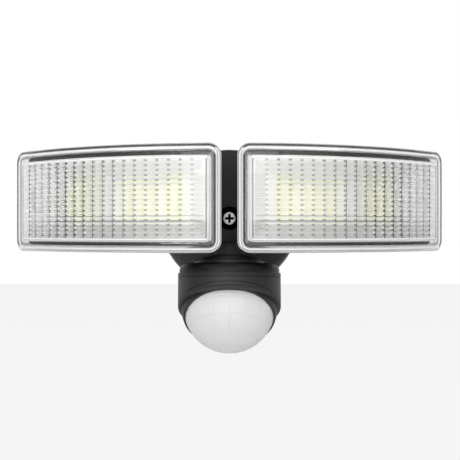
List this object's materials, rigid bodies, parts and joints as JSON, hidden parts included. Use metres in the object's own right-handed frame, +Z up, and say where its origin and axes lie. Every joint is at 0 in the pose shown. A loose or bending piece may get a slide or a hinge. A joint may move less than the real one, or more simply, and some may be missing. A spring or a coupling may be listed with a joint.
{
  "type": "motion sensor security light",
  "caption": "Wall light with two curved tilting LED heads on a round canopy and a domed motion sensor that pans and tilts below.",
  "frame": {"origin": "where the axis of the canopy's mounting screw meets the wall", "axes": "+X to the right seen from the front, +Y into the wall, +Z up; the front faces -Y"},
  "size_m": [0.3174, 0.12, 0.1523],
  "materials": {
    "black_plastic": "fine grained black",
    "black_metal": "black powder coat",
    "grey_plastic": "plain",
    "rubber": "soft",
    "zinc_steel": "zinc plated",
    "bright_steel": "nickel plated",
    "green_metal": "green",
    "circuit_board": "solder mask",
    "electronics": "moulded",
    "clear_plastic": "clear, prismatic",
    "white_plastic": "white",
    "white_board": "white solder mask on aluminium",
    "led_phosphor": "yellow phosphor",
    "milky_plastic": "milky"
  },
  "bodies": {
    "canopy": {"canopy_housing": "black_plastic", "canopy_gasket": "rubber", "back_plate": "black_plastic", "back_plate_screws": "zinc_steel", "supply_grommet": "rubber", "driver_board": "circuit_board", "driver_parts": "electronics", "driver_screws": "zinc_steel", "mounting_screw": "bright_steel", "crossbar": "zinc_steel", "ground_screw": "green_metal", "left_arm": "black_metal", "right_arm": "black_metal", "arm_screws": "zinc_steel", "sensor_neck": "black_plastic", "neck_screws": "zinc_steel", "neck_cap": "black_plastic"},
    "left_head": {"left_head_shell": "black_metal", "left_lens": "clear_plastic", "left_lens_gasket": "rubber", "left_lens_clips": "black_plastic", "left_reflector": "white_plastic", "left_front_board": "white_board", "left_side_board": "white_board", "left_front_leds": "led_phosphor", "left_side_leds": "led_phosphor", "left_hinge_bolt": "zinc_steel", "left_hinge_nut": "zinc_steel", "left_hinge_washers": "zinc_steel"},
    "right_head": {"right_head_shell": "black_metal", "right_lens": "clear_plastic", "right_lens_gasket": "rubber", "right_lens_clips": "black_plastic", "right_reflector": "white_plastic", "right_front_board": "white_board", "right_side_board": "white_board", "right_front_leds": "led_phosphor", "right_side_leds": "led_phosphor", "right_hinge_bolt": "zinc_steel", "right_hinge_nut": "zinc_steel", "right_hinge_washers": "zinc_steel"},
    "swivel": {"swivel_cap": "black_plastic", "swivel_clip": "zinc_steel", "tilt_pins": "zinc_steel"},
    "sensor": {"sensor_cover": "black_plastic", "sensor_housing": "black_plastic", "dome_bezel": "black_plastic", "sensor_dome": "milky_plastic", "sensor_board": "circuit_board", "pir_detector": "bright_steel", "light_sensor": "electronics", "control_board": "circuit_board", "potentiometers": "electronics"},
    "time_knob": {"time_knob": "grey_plastic"},
    "lux_knob": {"lux_knob": "grey_plastic"},
    "range_knob": {"range_knob": "grey_plastic"}
  },
  "joints": [
    {"name": "left_head_tilt", "type": "hinge", "parent": "canopy", "child": "left_head", "pos_m": [-0.022, -0.09, 0.005], "axis": [1, 0, 0], "range_deg": [-45, 7]},
    {"name": "right_head_tilt", "type": "hinge", "parent": "canopy", "child": "right_head", "pos_m": [0.022, -0.09, 0.005], "axis": [1, 0, 0], "range_deg": [-45, 7]},
    {"name": "sensor_pan", "type": "hinge", "parent": "canopy", "child": "swivel", "pos_m": [0, -0.08, -0.0325], "axis": [0, 0.0872, 0.9962], "range_deg": [-90, 90]},
    {"name": "sensor_tilt", "type": "hinge", "parent": "swivel", "child": "sensor", "pos_m": [0, -0.08, -0.0325], "axis": [1, 0, 0], "range_deg": [-4, 10]},
    {"name": "time_turn", "type": "hinge", "parent": "sensor", "child": "time_knob", "pos_m": [-0.011, -0.05069, -0.06468], "axis": [0, 0.9962, -0.0872], "range_deg": [-135, 135]},
    {"name": "lux_turn", "type": "hinge", "parent": "sensor", "child": "lux_knob", "pos_m": [0, -0.05069, -0.06468], "axis": [0, 0.9962, -0.0872], "range_deg": [-135, 135]},
    {"name": "range_turn", "type": "hinge", "parent": "sensor", "child": "range_knob", "pos_m": [0.011, -0.05069, -0.06468], "axis": [0, 0.9962, -0.0872], "range_deg": [-135, 135]}
  ]
}
